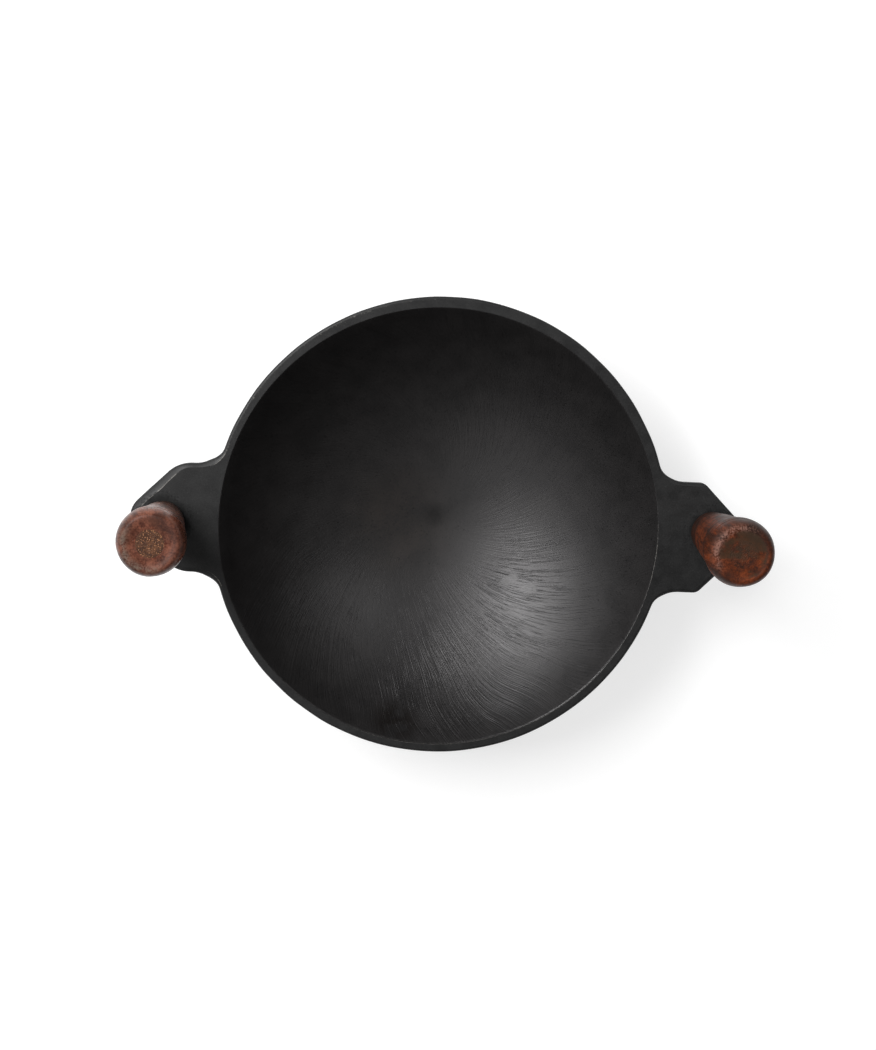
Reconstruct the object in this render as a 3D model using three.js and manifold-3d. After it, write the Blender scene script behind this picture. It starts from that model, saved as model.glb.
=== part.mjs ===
// A round-bottomed cast-iron stovetop pan with two pointed lugs and two upright turned wooden handles.
// Millimetres, +Z up. The origin is the centre of the foot, on the surface that the pan stands on.
// +X runs through the right-hand lug, and the two sides are alike.
//
// The bowl, its rim and both lugs are one casting. Each handle is a wooden grip, clamped to its lug by
// a long bolt: the head is sunk in the grip's end under a plug of filler, and the nut is below the lug.
import * as THREE from 'three';
import { mergeVertices } from 'three/addons/utils/BufferGeometryUtils.js';
import Module from 'manifold-3d';

const wasm = await Module();
wasm.setup();

// Bowl
const RIM_RADIUS = 127;
const RIM_HEIGHT = 64;
const RIM_LAND = 5.5;
const RIM_EDGE_ROUND = 1.5;
const FLOOR_THICKNESS = 6;
const FOOT_RADIUS = 35;
const FOOT_EDGE_ROUND = 1.2;
const FOOT_BLEND_REACH = 9;

// Lugs
const LUG_HALF_WIDTH = 30;
const LUG_THICKNESS = 7;
const LUG_SHOULDER_X = 146.3;
const LUG_ROOT_FILLET = 16;
const LUG_SHOULDER_ROUND = 8;
const LUG_TIP_ROUND = 12;
const LUG_EDGE_BEVEL = 2.5;
const LUG_HOLE_RADIUS = 3.4;
const LUG_ROOT_RADIUS = 119.7;

// Handles
const HANDLE_X = 152;
const GRIP_HEIGHT = 86;
const GRIP_BASE_RADIUS = 11.9;
const GRIP_BASE_CHAMFER = 0.8;
const GRIP_NECK_HEIGHT = 66;
const GRIP_NECK_RADIUS = 17.2;
const GRIP_KNOB_HEIGHT = 76;
const GRIP_KNOB_RADIUS = 18.2;
const GRIP_END_RADIUS = 13.8;
const GRIP_BORE_RADIUS = 3.3;
const PLUG_POCKET_RADIUS = 7.3;
const PLUG_POCKET_DEPTH = 13.2;
const PLUG_RECESS = 0.6;
const PLUG_GAP = 0.15;

// M6 fasteners
const BOLT_RADIUS = 3;
const BOLT_LENGTH = 90;
const BOLT_END_CHAMFER = 0.6;
const HEX_ACROSS_FLATS = 10;
const HEAD_HEIGHT = 4;
const NUT_HEIGHT = 5;
const NUT_BORE_RADIUS = 3.15;
const WASHER_RADIUS = 6;
const WASHER_BORE_RADIUS = 3.2;
const WASHER_THICKNESS = 1.6;
const DRILL_LENGTH = 24;

// How finely round shapes are faceted
const BOWL_SIDES = 64;
const GRIP_SIDES = 32;
const FASTENER_SIDES = 20;
const BOWL_ARC_STEPS = 10;
const ROUND_STEPS = 4;
const LUG_ARC_STEPS = 7;

// Worked out from the sizes above
const MOUTH_RADIUS = RIM_RADIUS - RIM_LAND;
const BOWL_DEPTH = RIM_HEIGHT - FLOOR_THICKNESS;
const INNER_SPHERE = (MOUTH_RADIUS ** 2 + BOWL_DEPTH ** 2) / (2 * BOWL_DEPTH);
const SPHERE_CENTRE_Z = FLOOR_THICKNESS + INNER_SPHERE;
const RIM_ROUND_X = RIM_RADIUS - RIM_EDGE_ROUND;
const RIM_ROUND_Z = RIM_HEIGHT - RIM_EDGE_ROUND;
const OUTER_SPHERE = Math.hypot(RIM_ROUND_X, SPHERE_CENTRE_Z - RIM_ROUND_Z) + RIM_EDGE_ROUND;
const LUG_UNDERSIDE_Z = RIM_HEIGHT - LUG_THICKNESS;
const GRIP_TOP_Z = RIM_HEIGHT + GRIP_HEIGHT;
const POCKET_FLOOR_Z = GRIP_TOP_Z - PLUG_POCKET_DEPTH;
const HEAD_UNDERSIDE_Z = POCKET_FLOOR_Z + WASHER_THICKNESS;
const HEAD_TOP_Z = HEAD_UNDERSIDE_Z + HEAD_HEIGHT;

const CAST_IRON = { color: 0x262626, roughness: 0.55, metalness: 0.6 };
const TURNED_WOOD = { color: 0x6b3d2c, roughness: 0.4, metalness: 0 };
const WOOD_FILLER = { color: 0x6b4a35, roughness: 0.8, metalness: 0 };
const ZINCED_STEEL = { color: 0x9a9c9e, roughness: 0.4, metalness: 1 };

// Points on an arc in the plane of a profile or an outline, both ends included.
function arcPoints(x, y, radius, start, end, steps) {
  const points = [];
  for (let i = 0; i <= steps; i++) {
    const angle = start + ((end - start) * i) / steps;
    points.push(new THREE.Vector2(x + radius * Math.cos(angle), y + radius * Math.sin(angle)));
  }
  return points;
}

// A profile of (radius, height) points turned about the Z axis.
function turned(profile, sides) {
  return new THREE.LatheGeometry(profile, sides).rotateX(Math.PI / 2);
}

// A hexagonal prism that stands on height z, with two flats facing along Y.
function hexPrism(z, height) {
  const cornerRadius = HEX_ACROSS_FLATS / Math.sqrt(3);
  const prism = new THREE.CylinderGeometry(cornerRadius, cornerRadius, height, 6, 1);
  return prism.rotateX(Math.PI / 2).rotateZ(Math.PI / 2).translate(0, 0, z + height / 2);
}

// A geometry as a solid that can be joined and cut. Triangles that shrink to a line at a pole are dropped.
function toSolid(geometry) {
  const bare = geometry.clone();
  bare.deleteAttribute('normal');
  bare.deleteAttribute('uv');
  const merged = mergeVertices(bare, 1e-4);
  const index = merged.index.array;
  const triangles = [];
  for (let i = 0; i < index.length; i += 3) {
    const [a, b, c] = index.slice(i, i + 3);
    if (a !== b && b !== c && c !== a) triangles.push(a, b, c);
  }
  return new wasm.Manifold(
    new wasm.Mesh({
      numProp: 3,
      vertProperties: merged.attributes.position.array,
      triVerts: new Uint32Array(triangles),
    }),
  );
}

function toGeometry(solid) {
  const made = solid.getMesh();
  const geometry = new THREE.BufferGeometry();
  geometry.setAttribute('position', new THREE.BufferAttribute(made.vertProperties, 3));
  geometry.setIndex(new THREE.BufferAttribute(made.triVerts, 1));
  geometry.computeVertexNormals();
  return geometry;
}

function piece(name, geometry, finish) {
  const mesh = new THREE.Mesh(geometry, new THREE.MeshStandardMaterial(finish));
  mesh.name = name;
  return mesh;
}

// The bowl's section: a spherical inside, a flat rim with a rounded outer edge, a spherical outside,
// and a flat foot that blends into it.
function bowlGeometry() {
  const innerRimAngle = Math.atan2(RIM_HEIGHT - SPHERE_CENTRE_Z, MOUTH_RADIUS);
  const outerRimAngle = Math.atan2(RIM_ROUND_Z - SPHERE_CENTRE_Z, RIM_ROUND_X);
  const blendRadius = FOOT_RADIUS + FOOT_BLEND_REACH;
  const blendAngle = -Math.acos(blendRadius / OUTER_SPHERE);
  const blendZ = SPHERE_CENTRE_Z + OUTER_SPHERE * Math.sin(blendAngle);
  const footRoundX = FOOT_RADIUS - FOOT_EDGE_ROUND;
  const blend = new THREE.QuadraticBezierCurve(
    new THREE.Vector2(FOOT_RADIUS, FOOT_EDGE_ROUND),
    new THREE.Vector2(FOOT_RADIUS, blendZ - FOOT_BLEND_REACH * Math.tan(Math.PI / 2 + blendAngle)),
    new THREE.Vector2(blendRadius, blendZ),
  );
  const inside = arcPoints(0, SPHERE_CENTRE_Z, INNER_SPHERE, -Math.PI / 2, innerRimAngle, BOWL_ARC_STEPS);
  inside[0].x = 0;
  const rimEdge = arcPoints(
    RIM_ROUND_X,
    RIM_ROUND_Z,
    RIM_EDGE_ROUND,
    Math.PI / 2,
    outerRimAngle,
    ROUND_STEPS,
  );
  const outside = arcPoints(0, SPHERE_CENTRE_Z, OUTER_SPHERE, outerRimAngle, blendAngle, BOWL_ARC_STEPS);
  const footEdge = arcPoints(footRoundX, FOOT_EDGE_ROUND, FOOT_EDGE_ROUND, 0, -Math.PI / 2, ROUND_STEPS);
  const section = [
    ...inside,
    ...rimEdge,
    ...outside.slice(1, -1),
    ...blend.getPoints(ROUND_STEPS).reverse(),
    ...footEdge.slice(1),
    new THREE.Vector2(0, 0),
  ];
  return turned(section.reverse(), BOWL_SIDES);
}

// The right-hand lug as a plate: it flares out of the rim in two hollow curves, runs parallel, then
// narrows at 45 degrees to a blunt point. Its edges are bevelled, and its root lies inside the rim.
function lugGeometry() {
  const filletY = LUG_HALF_WIDTH + LUG_ROOT_FILLET;
  const filletX = Math.sqrt((RIM_RADIUS + LUG_ROOT_FILLET) ** 2 - filletY ** 2);
  const rootAngle = Math.atan2(filletY, filletX);
  const quarter = Math.PI / 4;
  const shoulderX = LUG_SHOULDER_X - LUG_SHOULDER_ROUND * Math.tan(quarter / 2);
  const shoulderY = LUG_HALF_WIDTH - LUG_SHOULDER_ROUND;
  const tipX = LUG_SHOULDER_X + LUG_HALF_WIDTH - LUG_TIP_ROUND * Math.SQRT2;

  const outline = new THREE.Shape();
  outline.moveTo(LUG_ROOT_RADIUS * Math.cos(rootAngle), -LUG_ROOT_RADIUS * Math.sin(rootAngle));
  outline.absarc(filletX, -filletY, LUG_ROOT_FILLET, Math.PI - rootAngle, Math.PI / 2, true);
  outline.absarc(shoulderX, -shoulderY, LUG_SHOULDER_ROUND, -Math.PI / 2, -quarter, false);
  outline.absarc(tipX, 0, LUG_TIP_ROUND, -quarter, quarter, false);
  outline.absarc(shoulderX, shoulderY, LUG_SHOULDER_ROUND, quarter, Math.PI / 2, false);
  outline.absarc(filletX, filletY, LUG_ROOT_FILLET, -Math.PI / 2, rootAngle - Math.PI, true);
  outline.absarc(0, 0, LUG_ROOT_RADIUS, rootAngle, -rootAngle, true);

  const plate = new THREE.ExtrudeGeometry(outline, {
    depth: LUG_THICKNESS - 2 * LUG_EDGE_BEVEL,
    curveSegments: LUG_ARC_STEPS,
    bevelEnabled: true,
    bevelThickness: LUG_EDGE_BEVEL,
    bevelSize: LUG_EDGE_BEVEL,
    bevelOffset: -LUG_EDGE_BEVEL,
    bevelSegments: 1,
  });
  return plate.translate(0, 0, LUG_UNDERSIDE_Z + LUG_EDGE_BEVEL);
}

// The bowl and both lugs joined into one casting, with a bolt hole through each lug.
function panCasting() {
  const drill = new THREE.CylinderGeometry(LUG_HOLE_RADIUS, LUG_HOLE_RADIUS, DRILL_LENGTH, FASTENER_SIDES);
  drill.rotateX(Math.PI / 2).translate(HANDLE_X, 0, RIM_HEIGHT - LUG_THICKNESS / 2);
  let casting = toSolid(bowlGeometry());
  for (const turn of [0, Math.PI]) {
    casting = casting.add(toSolid(lugGeometry().rotateZ(turn)));
    casting = casting.subtract(toSolid(drill.clone().rotateZ(turn)));
  }
  return piece('pan_casting', toGeometry(casting), CAST_IRON);
}

// The grip: slim where it stands on the lug, then a straight taper up to a rounded knob with a flat end.
// A bore takes the bolt, and a wider pocket in the end takes its head, a washer and the plug.
function grip(name) {
  const knobBelow = new THREE.EllipseCurve(
    GRIP_NECK_RADIUS,
    GRIP_KNOB_HEIGHT,
    GRIP_KNOB_RADIUS - GRIP_NECK_RADIUS,
    GRIP_KNOB_HEIGHT - GRIP_NECK_HEIGHT,
    -Math.PI / 2,
    0,
  );
  const knobAbove = new THREE.EllipseCurve(
    GRIP_END_RADIUS,
    GRIP_KNOB_HEIGHT,
    GRIP_KNOB_RADIUS - GRIP_END_RADIUS,
    GRIP_HEIGHT - GRIP_KNOB_HEIGHT,
    0,
    Math.PI / 2,
  );
  const pocketFloor = GRIP_HEIGHT - PLUG_POCKET_DEPTH;
  const profile = [
    new THREE.Vector2(GRIP_BORE_RADIUS, 0),
    new THREE.Vector2(GRIP_BASE_RADIUS - GRIP_BASE_CHAMFER, 0),
    new THREE.Vector2(GRIP_BASE_RADIUS, GRIP_BASE_CHAMFER),
    ...knobBelow.getPoints(ROUND_STEPS),
    ...knobAbove.getPoints(ROUND_STEPS).slice(1),
    new THREE.Vector2(PLUG_POCKET_RADIUS, GRIP_HEIGHT),
    new THREE.Vector2(PLUG_POCKET_RADIUS, pocketFloor),
    new THREE.Vector2(GRIP_BORE_RADIUS, pocketFloor),
    new THREE.Vector2(GRIP_BORE_RADIUS, 0),
  ];
  const mesh = piece(name, turned(profile, GRIP_SIDES), TURNED_WOOD);
  mesh.position.z = RIM_HEIGHT;
  return mesh;
}

// The bolt: a hexagonal head in the grip's end, and a shank that runs down through grip, lug and nut.
function bolt(name) {
  const tipZ = HEAD_UNDERSIDE_Z - BOLT_LENGTH;
  const shank = [
    new THREE.Vector2(0, tipZ),
    new THREE.Vector2(BOLT_RADIUS - BOLT_END_CHAMFER, tipZ),
    new THREE.Vector2(BOLT_RADIUS, tipZ + BOLT_END_CHAMFER),
    new THREE.Vector2(BOLT_RADIUS, HEAD_UNDERSIDE_Z + HEAD_HEIGHT / 2),
    new THREE.Vector2(0, HEAD_UNDERSIDE_Z + HEAD_HEIGHT / 2),
  ];
  const head = toSolid(hexPrism(HEAD_UNDERSIDE_Z, HEAD_HEIGHT));
  return piece(name, toGeometry(head.add(toSolid(turned(shank, FASTENER_SIDES)))), ZINCED_STEEL);
}

// The nut: a hexagon below the lug's washer, bored for the bolt.
function nut(name) {
  const z = LUG_UNDERSIDE_Z - WASHER_THICKNESS - NUT_HEIGHT;
  const bore = new THREE.CylinderGeometry(NUT_BORE_RADIUS, NUT_BORE_RADIUS, DRILL_LENGTH, FASTENER_SIDES);
  bore.rotateX(Math.PI / 2).translate(0, 0, z + NUT_HEIGHT / 2);
  return piece(name, toGeometry(toSolid(hexPrism(z, NUT_HEIGHT)).subtract(toSolid(bore))), ZINCED_STEEL);
}

// A plain washer that lies on height z.
function washer(name, z) {
  const section = [
    new THREE.Vector2(WASHER_BORE_RADIUS, 0),
    new THREE.Vector2(WASHER_RADIUS, 0),
    new THREE.Vector2(WASHER_RADIUS, WASHER_THICKNESS),
    new THREE.Vector2(WASHER_BORE_RADIUS, WASHER_THICKNESS),
    new THREE.Vector2(WASHER_BORE_RADIUS, 0),
  ];
  const mesh = piece(name, turned(section, FASTENER_SIDES), ZINCED_STEEL);
  mesh.position.z = z;
  return mesh;
}

// The plug: a disc of filler that covers the bolt's head, a little below the grip's end.
function endPlug(name) {
  const height = GRIP_TOP_Z - PLUG_RECESS - HEAD_TOP_Z - PLUG_GAP;
  const disc = new THREE.CylinderGeometry(
    PLUG_POCKET_RADIUS - PLUG_GAP,
    PLUG_POCKET_RADIUS - PLUG_GAP,
    height,
    FASTENER_SIDES,
  );
  const mesh = piece(name, disc.rotateX(Math.PI / 2), WOOD_FILLER);
  mesh.position.z = GRIP_TOP_Z - PLUG_RECESS - height / 2;
  return mesh;
}

// One handle with its fasteners, standing on the lug of the given side.
function handle(side, x) {
  const group = new THREE.Group();
  group.add(
    grip(`${side}_grip`),
    bolt(`${side}_bolt`),
    washer(`${side}_head_washer`, POCKET_FLOOR_Z),
    endPlug(`${side}_end_plug`),
    washer(`${side}_lug_washer`, LUG_UNDERSIDE_Z - WASHER_THICKNESS),
    nut(`${side}_nut`),
  );
  group.position.x = x;
  return group;
}

const pan = new THREE.Group();
pan.add(panCasting(), handle('left', -HANDLE_X), handle('right', HANDLE_X));

export default pan;
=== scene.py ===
import bpy
import numpy as np
from mathutils import Matrix, Quaternion, Vector


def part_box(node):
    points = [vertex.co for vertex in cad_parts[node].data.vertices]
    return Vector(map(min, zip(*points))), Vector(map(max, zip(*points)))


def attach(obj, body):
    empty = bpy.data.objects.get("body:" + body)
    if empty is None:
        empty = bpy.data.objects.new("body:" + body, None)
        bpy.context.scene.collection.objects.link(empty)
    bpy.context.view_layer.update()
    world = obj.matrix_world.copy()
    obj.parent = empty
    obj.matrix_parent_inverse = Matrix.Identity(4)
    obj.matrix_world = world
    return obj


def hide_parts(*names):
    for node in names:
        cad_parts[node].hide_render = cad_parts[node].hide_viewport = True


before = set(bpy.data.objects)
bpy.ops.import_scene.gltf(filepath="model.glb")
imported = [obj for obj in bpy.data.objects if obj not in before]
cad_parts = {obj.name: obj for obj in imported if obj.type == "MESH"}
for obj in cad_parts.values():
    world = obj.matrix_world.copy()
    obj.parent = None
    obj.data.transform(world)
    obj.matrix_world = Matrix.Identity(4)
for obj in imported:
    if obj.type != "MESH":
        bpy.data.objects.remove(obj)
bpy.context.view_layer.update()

# Pan casting
# One iron casting: a spherical bowl with a flat rim, a small flat foot and two pointed lugs.
# It is sand cast, ground inside with a disc, dressed on the rim, drilled, and blackened with baked oil.
MM = 0.001
_, casting_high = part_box("pan_casting")
RIM_RADIUS = casting_high.y
RIM_HEIGHT = casting_high.z
RIM_LAND = 5.5 * MM
RIM_EDGE_ROUND = 1.5 * MM
RIM_OFF_CENTRE = 0.6 * MM
RIM_OVAL = 0.5 * MM
MOUTH_OFF_CENTRE = 0.6 * MM
RIM_WANDER = 0.25 * MM
MOUTH_EDGE_ROUND = 0.32 * MM
FLOOR_THICKNESS = 6 * MM
FOOT_RADIUS = 35 * MM
FOOT_EDGE_ROUND = 1.2 * MM
FOOT_BLEND_REACH = 9 * MM
LUG_POINT_X = {"right": 177.0 * MM, "left": 174.9 * MM}
LUG_HALF_WIDTHS = {"right": (31.3 * MM, 30.5 * MM), "left": (30.2 * MM, 30 * MM)}
LUG_THICKNESS = 7 * MM
LUG_SHOULDER_ROUND = {"right": 5.5 * MM, "left": 19 * MM}
LUG_ROOT_FILLET = 16 * MM
LUG_TIP_ROUND = {"right": 13.8 * MM, "left": 12 * MM}
LUG_UNDER_ROUND = 1.8 * MM
LUG_UNDER_FILLET = 5 * MM
LUG_BLEND_REACH = 5 * MM
LUG_SKEW = np.radians(-1.1)
LUG_BEVEL = {"right": 1.9 * MM, "left": 2.1 * MM}
LUG_SLANT_BEVEL = {"right": 0.3 * MM, "left": 1.8 * MM}
LUG_SLANT_SPREAD = np.radians(22)
LUG_SCUFF = {"right": 0.1, "left": 0.85}
RIM_SCUFF = 0.15
RIM_SCUFF_BACK_LEFT = 0.2
RIM_SCUFF_WIDTH = 1.5 * MM
RIM_SCUFF_HEADING = np.radians(130)
# The lip's painted glint: how strong, how wide and which way it faces.
LIP_GLINT = 0.8
LIP_GLINT_WIDTH = 0.12 * MM
LIP_GLINT_HEADING = np.radians(-56)
ARRIS_WEAR = (1, 0.45, 0.1, 0.05, 0.05, 0.1, 0.25, 0.4)
BEVEL_WANDER = 0.5 * MM
BEVEL_DROP_SHARE = 0.62
BEVEL_FLATNESS = 0.75
LUG_HOLE_RADIUS = 3.4 * MM
HOLE_COLUMNS = 48
HANDLE_X = 152 * MM
SIDES = {"left": -HANDLE_X, "right": HANDLE_X}
BOWL_RINGS = 56
LIP_RINGS = 6
LAND_RINGS = 14
EDGE_RINGS = 8
SIDE_RINGS = 5
BELLY_RINGS = 10
FILLET_RINGS = 7
WALL_RINGS = 34
FOOT_RINGS = 9
SOLE_RINGS = 6
OUTLINE_STEPS = 4000

MOUTH_RADIUS = RIM_RADIUS - RIM_LAND
BOWL_DEPTH = RIM_HEIGHT - FLOOR_THICKNESS
INNER_SPHERE = (MOUTH_RADIUS**2 + BOWL_DEPTH**2) / (2 * BOWL_DEPTH)
SPHERE_Z = FLOOR_THICKNESS + INNER_SPHERE
RIM_ROUND_R = RIM_RADIUS - RIM_EDGE_ROUND
RIM_ROUND_Z = RIM_HEIGHT - RIM_EDGE_ROUND
OUTER_SPHERE = np.hypot(RIM_ROUND_R, SPHERE_Z - RIM_ROUND_Z) + RIM_EDGE_ROUND
QUARTER = np.pi / 2


def ring_mesh(name, points, band_slots=0, loop=False):
    """A closed surface from rows of points: each row is a ring of columns about the piece, and rows run
    outward over the top, down the outside and in underneath. With loop the last row meets the first,
    as round a bore; otherwise the first and last rows shrink to one point each."""
    rows, columns = points.shape[:2]
    index = np.arange(rows * columns).reshape(rows, columns)
    vertices = points.reshape(-1, 3)
    if loop:
        index = np.vstack([index, index[:1]])
    else:
        vertices = vertices[columns - 1 : len(vertices) - columns + 1]
        index = np.clip(index - (columns - 1), 0, len(vertices) - 1)
    here, after = index, np.roll(index, -1, axis=1)
    quads = np.stack([here[:-1], here[1:], after[1:], after[:-1]], axis=-1)
    if loop:
        faces = quads.reshape(-1, 4).tolist()
    else:
        faces = quads[0][:, :3].tolist() + quads[1:-1].reshape(-1, 4).tolist()
        faces += quads[-1][:, [0, 1, 3]].tolist()
    mesh = bpy.data.meshes.new(name)
    mesh.from_pydata(vertices.tolist(), [], faces)
    slots = np.broadcast_to(np.asarray(band_slots), (len(quads),))
    mesh.polygons.foreach_set("material_index", np.repeat(slots, columns).astype(np.int32))
    mesh.polygons.foreach_set("use_smooth", np.ones(len(faces), bool))
    mesh.update()
    return mesh


def row_attribute(mesh, name, values, loop=False):
    """A number for every point of a ring mesh, from an array of rows and columns."""
    rows, columns = values.shape
    flat = values.ravel() if loop else values.ravel()[columns - 1 : rows * columns - columns + 1]
    mesh.attributes.new(name, "FLOAT", "POINT").data.foreach_set("value", flat.astype(np.float32))


def place_piece(mesh, materials, node):
    """The object for a finished mesh, under its name, standing for its CAD node and fixed to the pan."""
    piece = bpy.data.objects.new(mesh.name, mesh)
    bpy.context.scene.collection.objects.link(piece)
    for material in materials:
        mesh.materials.append(material)
    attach(piece, "root")
    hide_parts(node)
    return piece


def smoothstep(share):
    """A soft step: nought below nought, one above one, and three squares less two cubes between."""
    share = np.clip(share, 0, 1)
    return share * share * (3 - 2 * share)


def wander(angle, slowest, fastest, seed):
    """A hand's unevenness round a ring, from nought to one: sines of whole turns with random phases."""
    rng = np.random.default_rng(seed)
    turns = np.arange(slowest, fastest + 1)
    phase = rng.uniform(0, 2 * np.pi, len(turns))
    size = rng.uniform(0.4, 1, len(turns))
    field = np.sin(angle[:, None] * turns + phase) @ size
    return (field - field.min()) / (field.max() - field.min())


def lug_half(point_x, half_width, shoulder_round, tip_round, share):
    """Half a lug's outline at the given shares of the way from its tip to its root on the rim circle: the
    root's angle, and the points and the normal's angle there. The outline is arcs and straights, so
    the angle is piecewise linear along the length, and the points are the running sum of the tangent."""
    fillet_y = half_width + LUG_ROOT_FILLET
    fillet_x = np.sqrt((RIM_RADIUS + LUG_ROOT_FILLET) ** 2 - fillet_y**2)
    root = np.arctan2(fillet_y, fillet_x)
    corner = shoulder_round * np.tan(np.pi / 8)
    lengths = [
        tip_round * np.pi / 4,
        half_width * np.sqrt(2) - tip_round - corner,
        shoulder_round * np.pi / 4,
        point_x - half_width - corner - fillet_x,
        LUG_ROOT_FILLET * (QUARTER - root),
    ]
    breaks = np.concatenate([[0], np.cumsum(lengths)])
    bends = [0, np.pi / 4, np.pi / 4, QUARTER, QUARTER, root]
    along = np.linspace(0, breaks[-1], OUTLINE_STEPS)
    turn = np.interp(along, breaks, bends)
    x = point_x - tip_round * (np.sqrt(2) - 1) - np.cumsum(np.sin(turn)) * along[1]
    y = np.cumsum(np.cos(turn)) * along[1]
    at = share * along[-1]
    return root, np.interp(at, along, x), np.interp(at, along, y), np.interp(at, along, turn)


def casting_plan(lug_columns, rim_columns):
    """The casting seen from above, column by column: the angle of the column at the mouth, the outline's
    point and outward normal there, the width of the edge bevel, which is ground wider along the slants,
    and how scuffed it is. Between the lugs the outline is the rim circle."""
    share = np.linspace(0, 1, lug_columns)
    lugs = []
    for side, start in (("right", 0.0), ("left", np.pi)):
        point_x, shoulder, tip = LUG_POINT_X[side], LUG_SHOULDER_ROUND[side], LUG_TIP_ROUND[side]
        before, after = (lug_half(point_x, half, shoulder, tip, share) for half in LUG_HALF_WIDTHS[side])
        x = np.append(before[1][::-1], after[1][1:])
        y = np.append(-before[2][::-1], after[2][1:])
        turn = np.append(-before[3][::-1], after[3][1:])
        spread = np.append(-before[0] * share[::-1], after[0] * share[1:])
        off_slant = (np.abs(turn) - np.pi / 4) / LUG_SLANT_SPREAD
        slant = np.exp(-(off_slant**2))
        bevel = LUG_BEVEL[side] + LUG_SLANT_BEVEL[side] * slant
        turned = start + LUG_SKEW
        c, s = np.cos(turned), np.sin(turned)
        scuff = LUG_SCUFF[side] * slant
        lugs.append(np.vstack([spread + turned, c * x - s * y, s * x + c * y, turn + turned, bevel, scuff]))
    columns = []
    for lug, next_angle in zip(lugs, (lugs[1][0, 0], lugs[0][0, 0] + 2 * np.pi)):
        rim = np.linspace(lug[0, -1], next_angle, rim_columns + 2)[1:-1]
        plain = np.full(rim_columns, RIM_EDGE_ROUND)
        arc = [rim, RIM_RADIUS * np.cos(rim), RIM_RADIUS * np.sin(rim), rim, plain, 0 * rim]
        columns += [lug, np.vstack(arc)]
    angle, x, y, normal, bevel, scuff = np.hstack(columns)
    bevel = bevel + BEVEL_WANDER * (wander(angle, slowest=20, fastest=90, seed=3) - 0.5)
    return angle, np.stack([x, y], -1), np.stack([np.cos(normal), np.sin(normal)], -1), bevel, scuff


def full_turn(columns):
    """The angles of columns spread evenly round an axis."""
    return np.linspace(0, 2 * np.pi, columns, endpoint=False)


def turned_rows(angle, radius, height):
    """Rings about the pan's axis at the columns' angles, each at its height, with one radius for the whole
    ring or one for every column."""
    wide = radius.reshape(len(height), -1)
    x = wide * np.cos(angle)
    y = wide * np.sin(angle)
    return np.stack([x, y, np.repeat(height[:, None], len(angle), 1)], -1)


def lathe_rows(centre_x, radius, height, columns):
    """Rings about the upright axis at centre_x, one for each radius and height of a turned profile."""
    rows = turned_rows(full_turn(columns), radius, height)
    rows[..., 0] += centre_x
    return rows


def plan_rows(outline, normal, inset, height):
    """Rings that follow the outline, moved in along its normal by inset, at the given heights."""
    flat = outline[None] - normal[None] * inset[..., None]
    return np.concatenate([flat, np.broadcast_to(height, inset.shape)[..., None]], -1)


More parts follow.
